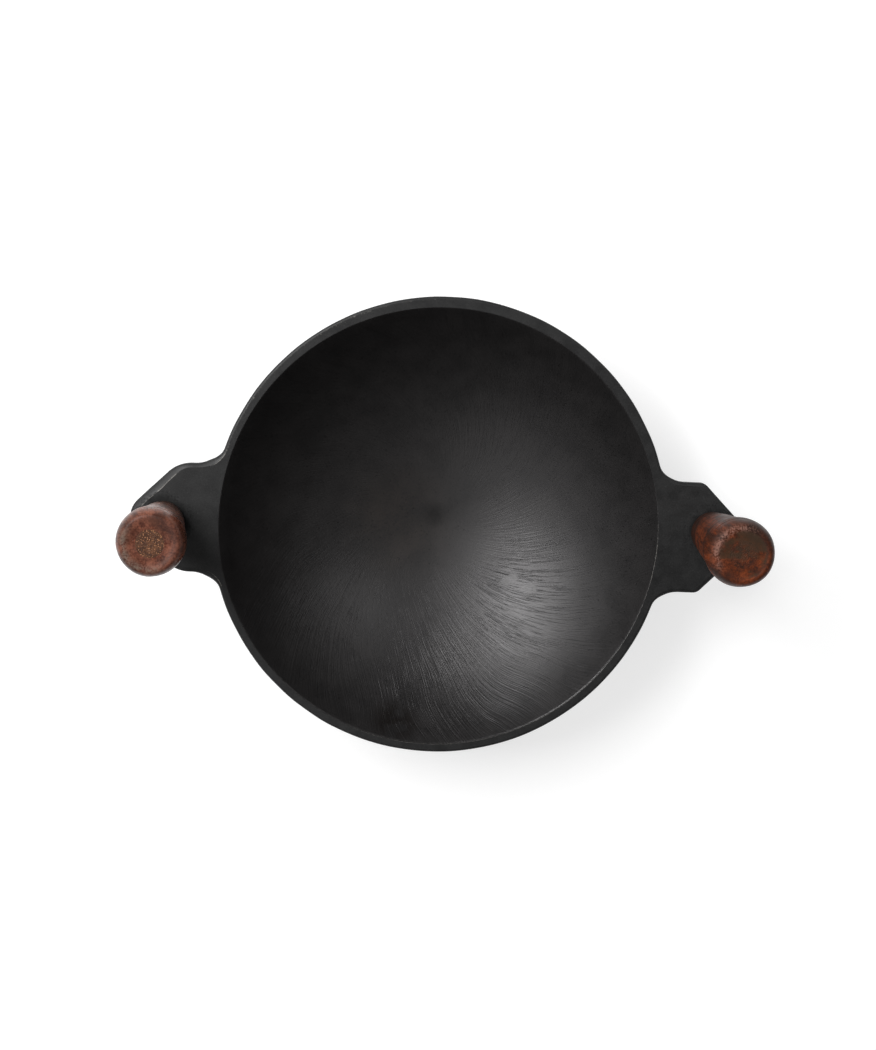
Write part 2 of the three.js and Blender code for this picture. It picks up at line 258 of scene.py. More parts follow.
def casting_points(angle, outline, normal, bevel):
    """All rings of the casting, from the bowl's bottom out to the rim and lugs and back in underneath.
    The edge and underside exist twice, for a plain rim and for a lug, and are mixed by how far the
    outline stands out from the rim. The rim is a little oval and off centre and wanders, and the mouth is
    ground a little towards the front."""
    overhang = np.hypot(*outline.T) - RIM_RADIUS
    mix = smoothstep(overhang / LUG_BLEND_REACH)[None, :, None]
    uneven = np.stack([RIM_OFF_CENTRE - RIM_OVAL * np.cos(angle), 0 * angle], -1) * (1 - mix[0])
    uneven = uneven - normal * RIM_WANDER * wander(angle, slowest=3, fastest=40, seed=5)[:, None]
    outline = outline + uneven

    edge_z = RIM_HEIGHT - MOUTH_EDGE_ROUND
    edge_r = np.sqrt((INNER_SPHERE + MOUTH_EDGE_ROUND) ** 2 - (SPHERE_Z - edge_z) ** 2)
    mouth = np.arctan2(edge_r, SPHERE_Z - edge_z)
    inside = np.linspace(0, mouth, BOWL_RINGS)
    bowl = turned_rows(angle, INNER_SPHERE * np.sin(inside), SPHERE_Z - INNER_SPHERE * np.cos(inside))
    bowl[..., 1] -= MOUTH_OFF_CENTRE * (inside[:, None] / mouth) ** 2
    lip = np.linspace(QUARTER + mouth, QUARTER, LIP_RINGS)[1:]
    lip_r, lip_z = edge_r + MOUTH_EDGE_ROUND * np.cos(lip), edge_z + MOUTH_EDGE_ROUND * np.sin(lip)
    lip = turned_rows(angle, lip_r, lip_z)
    lip[..., 1] -= MOUTH_OFF_CENTRE

    power = 2 / (2 - BEVEL_FLATNESS * mix[..., 0])
    sweep = np.linspace(0, QUARTER, EDGE_RINGS)[:, None]
    out, down = np.sin(sweep) ** power, np.cos(sweep) ** power
    drop = BEVEL_DROP_SHARE * bevel
    lug_edge = plan_rows(outline, normal, bevel * (1 - out), RIM_HEIGHT - drop * (1 - down))
    low = RIM_HEIGHT - LUG_THICKNESS
    side_z = np.linspace(RIM_HEIGHT - drop, np.full_like(bevel, low + LUG_UNDER_ROUND), SIDE_RINGS)[1:]
    lug_side = plan_rows(outline, normal, np.zeros_like(side_z), side_z)
    under = np.linspace(0, QUARTER, SIDE_RINGS)[1:, None] + np.zeros_like(bevel)
    under_z = low + LUG_UNDER_ROUND * (1 - np.sin(under))
    lug_under = plan_rows(outline, normal, LUG_UNDER_ROUND * (1 - np.cos(under)), under_z)
    fillet_z = low - LUG_UNDER_FILLET
    fillet_r = np.sqrt((OUTER_SPHERE + LUG_UNDER_FILLET) ** 2 - (SPHERE_Z - fillet_z) ** 2)
    fillet_end = np.arctan2(SPHERE_Z - fillet_z, -fillet_r)
    bend = np.linspace(QUARTER, fillet_end, FILLET_RINGS)
    fillet = turned_rows(
        angle, fillet_r + LUG_UNDER_FILLET * np.cos(bend), fillet_z + LUG_UNDER_FILLET * np.sin(bend)
    )
    share = np.linspace(0, 1, BELLY_RINGS)[1:-1, None, None]
    lug_belly = lug_under[-1:] * (1 - share) + fillet[:1] * share
    lug_rows = np.concatenate([lug_edge, lug_side, lug_under, lug_belly, fillet])

    rim_end = np.arctan2(RIM_ROUND_Z - SPHERE_Z, RIM_ROUND_R)
    arc = np.linspace(QUARTER, rim_end, EDGE_RINGS)
    rim_r = RIM_ROUND_R + RIM_EDGE_ROUND * np.cos(arc)
    rim_z = RIM_ROUND_Z + RIM_EDGE_ROUND * np.sin(arc)
    wall_top = fillet_end - np.pi
    upper = np.linspace(rim_end, wall_top, len(lug_rows) - EDGE_RINGS + 1)[1:]
    rim_r = np.append(rim_r, OUTER_SPHERE * np.cos(upper))
    rim_z = np.append(rim_z, SPHERE_Z + OUTER_SPHERE * np.sin(upper))
    rim_rows = turned_rows(angle, rim_r, rim_z)
    fade = np.append(np.ones(len(arc)), np.linspace(1, 0, len(upper)))
    rim_rows[..., :2] += uneven[None] * fade[:, None, None]
    edge_rows = lug_rows * mix + rim_rows * (1 - mix)

    share = (0.5 - 0.5 * np.cos(np.linspace(0, np.pi, LAND_RINGS)))[1:-1, None, None]
    land = lip[-1:] * (1 - share) + edge_rows[:1] * share

    blend_r = FOOT_RADIUS + FOOT_BLEND_REACH
    blend_angle = -np.arccos(blend_r / OUTER_SPHERE)
    blend_z = SPHERE_Z + OUTER_SPHERE * np.sin(blend_angle)
    wall = np.linspace(wall_top, blend_angle, WALL_RINGS)[1:]
    wall = turned_rows(angle, OUTER_SPHERE * np.cos(wall), SPHERE_Z + OUTER_SPHERE * np.sin(wall))
    knee_z = blend_z - FOOT_BLEND_REACH * np.tan(QUARTER + blend_angle)
    bend = np.linspace(0, 1, FOOT_RINGS)[1:]
    foot_r = blend_r * (1 - bend) ** 2 + FOOT_RADIUS * (1 - (1 - bend) ** 2)
    foot_z = blend_z * (1 - bend) ** 2 + knee_z * 2 * bend * (1 - bend) + FOOT_EDGE_ROUND * bend**2
    heel = np.linspace(0, QUARTER, SOLE_RINGS)[1:]
    foot_r = np.append(foot_r, FOOT_RADIUS - FOOT_EDGE_ROUND * (1 - np.cos(heel)))
    foot_z = np.append(foot_z, FOOT_EDGE_ROUND * (1 - np.sin(heel)))
    sole = np.linspace(foot_r[-1], 0, SOLE_RINGS)[1:]
    foot = turned_rows(angle, np.append(foot_r, sole), np.append(foot_z, np.zeros_like(sole)))

    groups = [bowl, lip, land, edge_rows, wall, foot]
    return np.concatenate(groups), [len(group) for group in groups]


def towards(angle, heading, least, full):
    """How far a column faces a heading, by the cosine between them: nought up to least, one from full."""
    return smoothstep((np.cos(angle - heading) - least) / (full - least))


def drilled(mesh, name):
    """The casting with a bolt hole through each lug: two plain drills are taken away from it."""
    drill_r = LUG_HOLE_RADIUS * np.array([0, 1, 1, 0])
    drill_z = np.repeat([RIM_HEIGHT + LUG_THICKNESS, RIM_HEIGHT - 2 * LUG_THICKNESS], 2)
    blank = bpy.data.objects.new(name, mesh)
    bpy.context.scene.collection.objects.link(blank)
    drills = []
    for side, centre_x in SIDES.items():
        rows = lathe_rows(centre_x, drill_r, drill_z, HOLE_COLUMNS)
        drill = bpy.data.objects.new(side + "_drill", ring_mesh(side + "_drill", rows))
        bpy.context.scene.collection.objects.link(drill)
        cut = blank.modifiers.new(side + "_hole", "BOOLEAN")
        cut.operation = "DIFFERENCE"
        cut.solver = "EXACT"
        cut.object = drill
        drills.append(drill)
    ready = blank.evaluated_get(bpy.context.evaluated_depsgraph_get())
    result = bpy.data.meshes.new_from_object(ready)
    for spent in (blank, *drills):
        spent_mesh = spent.data
        bpy.data.objects.remove(spent)
        bpy.data.meshes.remove(spent_mesh)
    result.name = name
    return result


angle, outline, normal, bevel, scuff = casting_plan(lug_columns=61, rim_columns=140)
points, counts = casting_points(angle, outline, normal, bevel)
lip_start, land_start, edge_start = np.cumsum(counts)[:3]
edge_end = edge_start + EDGE_RINGS
GROUND, DRESSED, CAST = range(3)
bands = np.full(len(points) - 1, GROUND)
bands[land_start - 1 :] = DRESSED
bands[edge_end - 1 :] = CAST
casting_mesh = ring_mesh("pan_casting_blank", points, bands)
wear_and_glint = np.zeros(points.shape[:2])
# The land by the lip is painted paler towards the front right as a glint, stored with the arrises' rubbing.
lip_glint_share = towards(angle, LIP_GLINT_HEADING, least=0.3, full=0.7)
from_lip = np.linalg.norm(points[land_start:edge_start] - points[land_start - 1], axis=-1)
wear_and_glint[lip_start:land_start] = LIP_GLINT * lip_glint_share
wear_and_glint[land_start:edge_start] = LIP_GLINT * lip_glint_share * np.exp(-from_lip / LIP_GLINT_WIDTH)
plain_rim = np.hypot(*outline.T) < RIM_RADIUS + MM
knocked = towards(angle, RIM_SCUFF_HEADING, least=0.45, full=0.9) * plain_rim
scuff = np.maximum(scuff, RIM_SCUFF + RIM_SCUFF_BACK_LEFT * knocked)
wear_and_glint[edge_start:edge_end] = np.array(ARRIS_WEAR)[:, None] * scuff
from_edge = np.linalg.norm(points[land_start:edge_start] - points[edge_start], axis=-1)
wear_and_glint[land_start:edge_start] += scuff * knocked * np.exp(-from_edge / RIM_SCUFF_WIDTH)
row_attribute(casting_mesh, "edge_wear_and_glint", wear_and_glint)
casting_mesh = drilled(casting_mesh, "pan_casting_surface")


def new_finish(name):
    """A new material, the shader that every finish here starts from, and where a point of the surface is in
    the pan's own frame."""
    material = bpy.data.materials.new(name)
    material.use_nodes = True
    where = material.node_tree.nodes.new("ShaderNodeTexCoord").outputs["Object"]
    return material, material.node_tree.nodes["Principled BSDF"], where


def edge_wear_and_glint(shader):
    """How much a point is rubbed, with the lip's painted glint, as its mesh says."""
    node = shader.id_data.nodes.new("ShaderNodeAttribute")
    node.attribute_name = "edge_wear_and_glint"
    return node.outputs["Fac"]


def add_node(kind, values, **settings):
    """A node of the given kind with its settings, beside the sockets that feed it. Its inputs are sockets,
    numbers or colours."""
    tree = next(value.id_data for value in values.values() if isinstance(value, bpy.types.NodeSocket))
    node = tree.nodes.new("ShaderNode" + kind)
    for key, value in settings.items():
        setattr(node, key, value)
    for key, value in values.items():
        if isinstance(value, bpy.types.NodeSocket):
            tree.links.new(value, node.inputs[key])
        else:
            node.inputs[key].default_value = value
    return node


def calc(operation, a, b=0.0):
    """One step of arithmetic on two numbers or sockets."""
    return add_node("Math", {0: a, 1: b}, operation=operation).outputs[0]


def plus(first, second):
    """The sum of two numbers or sockets."""
    return calc("ADD", first, second)


def minus(first, second):
    """The first number or socket less the second."""
    return calc("SUBTRACT", first, second)


def times(*factors):
    """The product of all factors."""
    product = factors[0]
    for factor in factors[1:]:
        product = calc("MULTIPLY", product, factor)
    return product


def vector_calc(operation, a, b):
    """One step on two vectors: SUBTRACT and MULTIPLY give a vector, DISTANCE and DOT_PRODUCT a number."""
    node = add_node("VectorMath", {0: a, 1: b}, operation=operation)
    return node.outputs["Vector" if operation in ("SUBTRACT", "MULTIPLY") else "Value"]


def blotches(where, size, detail=2.0, rough=0.5):
    """Soft noise about one half, with blotches of the given size."""
    values = {"Vector": where, "Scale": 1 / size, "Detail": detail, "Roughness": rough}
    return add_node("TexNoise", values).outputs["Fac"]


def band(value, low, high, to_low=0.0, to_high=1.0):
    """The value taken from low to high onto another range, with soft ends and no overshoot."""
    values = {"Value": value, "From Min": low, "From Max": high, "To Min": to_low, "To Max": to_high}
    return add_node("MapRange", values, interpolation_type="SMOOTHSTEP").outputs[0]


def mix_colour(share, first, second):
    """The first colour turned into the second by a share."""
    node = add_node("Mix", {"Factor": share, "A": first, "B": second}, data_type="RGBA")
    return node.outputs["Result"]


def dress(shader, colour, rough, height, depth, shine=0.5):
    """The shader's colour, roughness and shine, and its normal tilted by a height field of some depth."""
    shader.inputs["Specular IOR Level"].default_value = shine
    bump = add_node("Bump", {"Strength": 1.0, "Distance": depth, "Height": height}).outputs[0]
    for name, socket in (("Base Color", colour), ("Roughness", rough), ("Normal", bump)):
        shader.id_data.links.new(socket, shader.inputs[name])


def axis_radius(x, y):
    """The distance of a point from an upright axis."""
    flat = add_node("CombineXYZ", {"X": x, "Y": y}).outputs[0]
    return add_node("VectorMath", {0: flat}, operation="LENGTH").outputs["Value"]


def disc_strokes(angle, radius, width, at_radius, length, detail):
    """Strokes along lines of constant angle: noise read on a ring whose size makes them as wide as wanted
    at one radius, and stretched along the radius to their length."""
    turns = at_radius / width
    where = {
        "X": times(calc("COSINE", angle), turns),
        "Y": times(calc("SINE", angle), turns),
        "Z": calc("DIVIDE", radius, length),
    }
    return blotches(add_node("CombineXYZ", where).outputs[0], 1.0, detail, 0.6)


def near_place(where, place, inside, outside):
    """One within a distance of a place and nought beyond a further one, with a soft edge."""
    return band(vector_calc("DISTANCE", where, place), inside, outside, 1, 0)


STROKE_SLANT = np.tan(np.radians(20))
SCRATCH_SLANT = np.tan(np.radians(26))
STROKE_CURL = 0.125 / (100 * MM) ** 2
STROKE_SWAY = 0.03
BOWL_RELIEF = 0.15 * MM
RIM_RELIEF = 0.05 * MM
RIM_SHINE = 0.36
SKIN_RELIEF = 0.2 * MM
RUBBED_PLACES = ((54 * MM, -60 * MM, 28 * MM), (-60 * MM, -46 * MM, 24 * MM))
RUBBED_POLISH = (0.025, 0.04)
CALM_PLACES = ((-18 * MM, -49 * MM, 15 * MM), (-52 * MM, -6 * MM, 15 * MM))
CALM_REACHES = (44 * MM, 30 * MM)
CALM_SHARE = 0.5
SCUFF_PLACE = (58 * MM, -44 * MM, 26 * MM)
STAIN_PLACE = (-22 * MM, -6 * MM, 8 * MM)
BURN_PLACE = (-22 * MM, -112 * MM, 54 * MM)
WIPED_CENTRE_X = 12 * MM
WIPED_POLISH = 0.032
IRON_TINT = (1, 0.98, 0.99, 1)
IRON_BLACK = (0.0015, 0.0015, 0.0015, 1)
IRON_DARK = (0.006, 0.0056, 0.0056, 1)
IRON_PALE = (0.0115, 0.0106, 0.0105, 1)
OIL_BROWN = (0.0145, 0.0105, 0.0080, 1)
BURNT_OIL = (0.0035, 0.0024, 0.0018, 1)


def ground_strokes(angle, radius):
    """The grinding disc's strokes over the whole bowl: three sets of about one width, each made for one
    radius, which take over from one another on the way out from the bottom."""
    inner = disc_strokes(angle, radius, width=0.5 * MM, at_radius=15 * MM, length=14 * MM, detail=2)
    near = disc_strokes(angle, radius, width=0.5 * MM, at_radius=38 * MM, length=24 * MM, detail=1)
    far = disc_strokes(angle, radius, width=0.54 * MM, at_radius=90 * MM, length=22 * MM, detail=1)
    leave_inner = band(radius, 18 * MM, 36 * MM)
    stroke = add_node("Mix", {"Factor": leave_inner, "A": inner, "B": near}).outputs["Result"]
    leave_near = band(radius, 48 * MM, 78 * MM)
    return add_node("Mix", {"Factor": leave_near, "A": stroke, "B": far}).outputs["Result"]


def stroke_depth(where, x, y, radius, lip):
    """How deep the strokes are: deeper towards the front, where the disc was leaned on, and at the back, in
    patches, shallow at the bottom and in two calm places, and none on the lip."""
    away = times(band(radius, 6 * MM, 48 * MM, 0.1, 1), minus(1.0, lip))
    lean = plus(y, times(x, 0.2))
    leaned_on = band(lean, -5 * MM, -92 * MM, 0.6, 1.5)
    leaned_on = plus(leaned_on, band(lean, 40 * MM, 100 * MM, 0, 0.8))
    depth = band(blotches(where, 24 * MM, 2), 0.38, 0.60, 0.6, 1)
    depth = times(depth, away, leaned_on)
    for place, reach in zip(CALM_PLACES, CALM_REACHES):
        calm = near_place(where, place, 11 * MM, reach)
        depth = times(depth, minus(1.0, times(calm, CALM_SHARE)))
    return depth


def ground_iron():
    """The bowl's inside: strokes of the grinding disc lie along spirals, 20 degrees off the radius at the
    bottom and more towards the rim, so the angle round the pan is turned back by the logarithm and the
    square of the radius before noise is read along it. Scratches cross them, most of all where the pan is
    scuffed. Oil has left a brown stain, a burn and a black centre, and the skin is smoother by the lip."""
    material, shader, where = new_finish("ground_iron")
    x, y, z = add_node("SeparateXYZ", {0: where}).outputs
    radius = axis_radius(x, y)
    spread = calc("LOGARITHM", radius, np.e)
    sway = band(blotches(where, 45 * MM, 0), 0.25, 0.75, -STROKE_SWAY, STROKE_SWAY)
    round_pan = plus(calc("ARCTAN2", y, x), sway)
    round_pan = minus(round_pan, times(radius, radius, STROKE_CURL))
    angle = minus(round_pan, times(spread, STROKE_SLANT))
    crossing = minus(round_pan, times(spread, SCRATCH_SLANT))
    stroke = ground_strokes(angle, radius)
    scratch = disc_strokes(crossing, radius, width=0.42 * MM, at_radius=75 * MM, length=15 * MM, detail=0)
    scuffed = plus(near_place(where, SCUFF_PLACE, 10 * MM, 48 * MM), 0.5)
    gouged = times(scuffed, band(blotches(where, 14 * MM, 2), 0.28, 0.44))
    scratch = times(band(scratch, 0.61, 0.70), gouged, band(radius, 30 * MM, 55 * MM))
    mottle = blotches(where, 13 * MM, 3)
    cloud = blotches(where, 34 * MM, 2)
    grain = blotches(where, 0.8 * MM, 2, 0.6)
    pits = band(blotches(where, 1.0 * MM, 0), 0.72, 0.78)
    lip = band(z, RIM_HEIGHT - 0.6 * MM, RIM_HEIGHT - 0.25 * MM)

    tone = plus(times(mottle, 0.35), times(cloud, 0.25))
    tone = plus(tone, times(grain, 0.4))
    colour = mix_colour(band(tone, 0.34, 0.66), IRON_DARK, IRON_PALE)
    colour = mix_colour(times(scratch, 0.7), colour, IRON_BLACK)
    stain = times(near_place(where, STAIN_PLACE, 5 * MM, 45 * MM), band(tone, 0.35, 0.6))
    colour = mix_colour(times(stain, 0.6), colour, OIL_BROWN)
    burn = times(near_place(where, BURN_PLACE, 4 * MM, 18 * MM), band(mottle, 0.36, 0.50))
    colour = mix_colour(times(burn, 0.8), colour, BURNT_OIL)
    centre = times(band(radius, 1 * MM, 10 * MM, 1, 0), band(mottle, 0.35, 0.6, 0.5, 1))
    colour = mix_colour(times(calc("MAXIMUM", centre, pits), 0.7), colour, IRON_BLACK)

    grit = band(x, -30 * MM, 25 * MM, 0.28, 1)
    speckle = times(minus(grain, 0.5), grit, 0.12)
    rough = plus(band(mottle, 0.3, 0.7, 0.42, 0.45), speckle)
    dull = calc("MAXIMUM", calc("MAXIMUM", centre, burn), pits)
    rough = minus(rough, times(dull, 0.07))
    for place, polish in zip(RUBBED_PLACES, RUBBED_POLISH):
        rubbed = near_place(where, place, 8 * MM, 45 * MM)
        rough = minus(rough, times(rubbed, polish))
    rough = plus(rough, times(scratch, 0.05))
    wiped = axis_radius(minus(x, WIPED_CENTRE_X), y)
    rough = minus(rough, band(wiped, 84 * MM, 110 * MM, 0, WIPED_POLISH))
    rough = minus(rough, times(lip, 0.08))

    shader.inputs["Specular Tint"].default_value = IRON_TINT
    height = times(stroke, stroke_depth(where, x, y, radius, lip))
    height = plus(height, times(grain, grit, 0.14))
    height = minus(height, times(scratch, 0.25))
    height = minus(height, times(pits, 0.08))
    dress(shader, colour, rough, height, BOWL_RELIEF)
    return material


SATIN_DARK = (0.003, 0.003, 0.0032, 1)
SATIN_PALE = (0.0135, 0.0134, 0.0135, 1)
SATIN_SPECK = (0.030, 0.030, 0.030, 1)
# Pale bare iron, also used for the lip's painted glint.
BARE_IRON_AND_GLINT = (0.18, 0.170, 0.155, 1)
# Black for the oily, sooty ring and painted contact shadow round the handles.
SOOT_AND_SHADOW_BLACK = (0.001, 0.001, 0.001, 1)
SKIN_DARK = (0.010, 0.010, 0.0102, 1)
SKIN_PALE = (0.030, 0.029, 0.028, 1)


def dressed_iron():
    """The rim's and lugs' top faces and their bevels: dark satin iron with a fine grain, rubbed brighter
    along the arrises, painted paler by the lip as a glint, and black round the foot of each handle,
    partly oily and sooty and partly a painted contact shadow."""
    material, shader, where = new_finish("dressed_iron")
    x, y, _ = add_node("SeparateXYZ", {0: where}).outputs
    grain = blotches(where, 0.6 * MM, 2, 0.6)
    mottle = blotches(where, 8 * MM, 4, 0.6)
    cloud = blotches(where, 33 * MM, 2)
    ragged = blotches(where, 1.3 * MM, 3, 0.7)
    worn_and_glinting = edge_wear_and_glint(shader)
    broken = times(minus(ragged, 0.5), 1.6)
    worn_and_glinting = band(plus(worn_and_glinting, broken), 0.35, 0.80)
    tone = plus(times(mottle, 0.6), times(cloud, 0.4))
    tone = plus(times(tone, 0.5), times(grain, 0.5))
    colour = mix_colour(band(tone, 0.32, 0.68), SATIN_DARK, SATIN_PALE)
    colour = mix_colour(band(grain, 0.64, 0.76, 0, 0.5), colour, SATIN_SPECK)
    # Bare iron along the arrises, and a painted glint by the lip.
    colour = mix_colour(times(worn_and_glinting, 0.8), colour, BARE_IRON_AND_GLINT)
    # Round the foot of each handle the iron is painted black: partly oily and sooty, partly a painted
    # contact shadow.
    from_handle = axis_radius(minus(calc("ABSOLUTE", x), HANDLE_X), y)
    ring_breakup = blotches(where, 7 * MM, 5, 0.65)
    soot_and_shadow_reach = plus(from_handle, times(minus(ring_breakup, 0.5), 14 * MM))
    soot_and_shadow_reach = plus(soot_and_shadow_reach, band(x, -10 * MM, 10 * MM, 0, 1.5 * MM))
    dots = band(blotches(where, 1.2 * MM, 1), 0.57, 0.64)
    specks = times(dots, band(from_handle, 13 * MM, 21 * MM, 1, 0))
    soot_and_shadow = calc("MAXIMUM", band(soot_and_shadow_reach, 12.5 * MM, 17 * MM, 1, 0), specks)
    colour = mix_colour(times(soot_and_shadow, 0.9), colour, SOOT_AND_SHADOW_BLACK)
    rough = plus(band(mottle, 0.3, 0.7, 0.48, 0.58), times(soot_and_shadow, 0.3))
    height = plus(times(grain, 0.8), mottle)
    dress(shader, colour, rough, height, RIM_RELIEF, RIM_SHINE)
    return material


def cast_skin():
    """The outside as it left the sand: a rough grain of fine and coarse bumps under the black oil."""
    material, shader, where = new_finish("cast_skin")
    grain = blotches(where, 1.1 * MM, 4, 0.65)
    lumps = blotches(where, 6 * MM, 3)
    cloud = blotches(where, 40 * MM, 3)
    colour = mix_colour(cloud, SKIN_DARK, SKIN_PALE)
    rough = band(grain, 0.3, 0.7, 0.52, 0.66)
    dress(shader, colour, rough, plus(grain, times(lumps, 0.5)), SKIN_RELIEF)
    return material


casting_finishes = [ground_iron(), dressed_iron(), cast_skin()]
place_piece(casting_mesh, casting_finishes, "pan_casting")

# Wooden grips
# Two handles of reddish hardwood, each turned on a lathe: a plain taper, a bead, a groove and a round knob.
# Each is bored for a long bolt with a wider pocket in its end, then stained and varnished.
GRIP_BASE_RADIUS = 11.9 * MM
GRIP_BASE_CHAMFER = 0.8 * MM
GRIP_NECK_HEIGHT = 66 * MM
GRIP_NECK_RADIUS = 17.2 * MM
GRIP_KNOB_HEIGHT = 76 * MM
GRIP_KNOB_RADIUS = 18.2 * MM
GRIP_GROOVE_HEIGHT = 77 * MM
GRIP_GROOVE_DEPTH = {"left": 0.2 * MM, "right": 0.3 * MM}
GRIP_GROOVE_HALF = 0.5 * MM
GRIP_GROOVE_REACH = 79 * MM
GRIP_END_RADIUS = 13.8 * MM
GRIP_DISH_RADIUS = 12.7 * MM
GRIP_DISH_DEPTH = 0.6 * MM
GRIP_END_STEP = {"left": 0.05 * MM, "right": 0.25 * MM}
GRIP_BORE_RADIUS = 3.3 * MM
GRIP_FLATS = 0.3 * MM
GRIP_FLATS_REACH = 4 * MM
GRIP_WEAR_WIDTH = 1.9 * MM
GRIP_WEAR_REACH = 4 * MM
GRIP_TOP = RIM_HEIGHT + 86 * MM
GRIP_COLUMNS = 120
FACE_RINGS = 10
END_RINGS = 6
END_STEP_SPREAD = 1.6
KNOB_RINGS = 18
GROOVE_RINGS = 22
NECK_RINGS = 30
CHAMFER_RINGS = 4
BASE_RINGS = 5
BORE_RINGS = 6
POCKET_RADIUS = 7.3 * MM
POCKET_DEPTH = 13.2 * MM
CREASE = np.radians(28)


def grip_profile(end_step, groove_depth, tall):
    """A grip's section as radii and heights above its base: out over the dished end, round the knob and the
    bead by two quarter ellipses with a groove between them, down the straight taper, in under the base
    and up the stepped bore."""
    share = np.linspace(0, 1, FACE_RINGS)
    face_r = POCKET_RADIUS + (GRIP_DISH_RADIUS - POCKET_RADIUS) * share
    face_h = tall - end_step - (GRIP_DISH_DEPTH - end_step) * (1 - share**2)
    ring_r = np.linspace(GRIP_DISH_RADIUS, GRIP_END_RADIUS, END_RINGS)[1:]
    ring_h = tall - end_step * (1 - smoothstep(np.linspace(0, END_STEP_SPREAD, END_RINGS)[1:]))
    near_groove = np.arccos((GRIP_GROOVE_REACH - GRIP_KNOB_HEIGHT) / (tall - GRIP_KNOB_HEIGHT))
    above = np.linspace(0, near_groove, KNOB_RINGS)[1:]
    knob = np.append(above, np.linspace(near_groove, QUARTER, GROOVE_RINGS)[1:])
    knob_r = GRIP_END_RADIUS + (GRIP_KNOB_RADIUS - GRIP_END_RADIUS) * np.sin(knob)
    knob_h = GRIP_KNOB_HEIGHT + (tall - GRIP_KNOB_HEIGHT) * np.cos(knob)
    groove = np.exp(-(((knob_h - GRIP_GROOVE_HEIGHT) / GRIP_GROOVE_HALF) ** 2))
    bead = np.linspace(0, QUARTER, KNOB_RINGS)[1:]
    bead_r = GRIP_NECK_RADIUS + (GRIP_KNOB_RADIUS - GRIP_NECK_RADIUS) * np.cos(bead)
    bead_h = GRIP_KNOB_HEIGHT - (GRIP_KNOB_HEIGHT - GRIP_NECK_HEIGHT) * np.sin(bead)
    neck_r = np.linspace(GRIP_NECK_RADIUS, GRIP_BASE_RADIUS, NECK_RINGS)[1:]
    neck_h = np.linspace(GRIP_NECK_HEIGHT, GRIP_BASE_CHAMFER, NECK_RINGS)[1:]
    foot_r = np.linspace(GRIP_BASE_RADIUS, GRIP_BASE_RADIUS - GRIP_BASE_CHAMFER, CHAMFER_RINGS)[1:]
    foot_h = np.linspace(GRIP_BASE_CHAMFER, 0, CHAMFER_RINGS)[1:]
    under_r = np.linspace(foot_r[-1], GRIP_BORE_RADIUS, BASE_RINGS)[1:]
    bore_h = np.linspace(0, tall - POCKET_DEPTH, BORE_RINGS)[1:]
    step_r = np.linspace(GRIP_BORE_RADIUS, POCKET_RADIUS, CHAMFER_RINGS)[1:]
    wall_h = np.linspace(tall - POCKET_DEPTH, face_h[0], BORE_RINGS)[1:-1]
    outside_r = [face_r, ring_r, knob_r - groove_depth * groove, bead_r, neck_r, foot_r, under_r]
    bore_r = [np.full_like(bore_h, GRIP_BORE_RADIUS), step_r, np.full_like(wall_h, POCKET_RADIUS)]
    outside_h = [face_h, ring_h, knob_h, bead_h, neck_h, foot_h, np.zeros_like(under_r)]
    inside_h = [bore_h, np.full_like(step_r, tall - POCKET_DEPTH), wall_h]
    return np.concatenate(outside_r + bore_r), np.concatenate(outside_h + inside_h)


STAIN_COLOUR = (0.036, 0.021, 0.011, 1)
WOOD_DARK = (0.018, 0.007, 0.004, 1)
ALONG_GRAIN = (1, 1, 0.06)
WOOD_RELIEF = 0.09 * MM
WOOD_SHINE = 0.2


def brushed_stain(local):
    """Where stain was daubed across the end of a handle, over the wood and its plug alike."""
    brush = {"Location": (0, 39 * MM, 63 * MM), "Rotation": (0, 0, 0.6), "Scale": (0.7, 1.0, 1)}
    brush["Vector"] = vector_calc("SUBTRACT", local, (1 * MM, 8 * MM, 0))
    drawn_out = add_node("Mapping", brush).outputs[0]
    return band(blotches(drawn_out, 12 * MM, 3, 0.6), 0.45, 0.55)


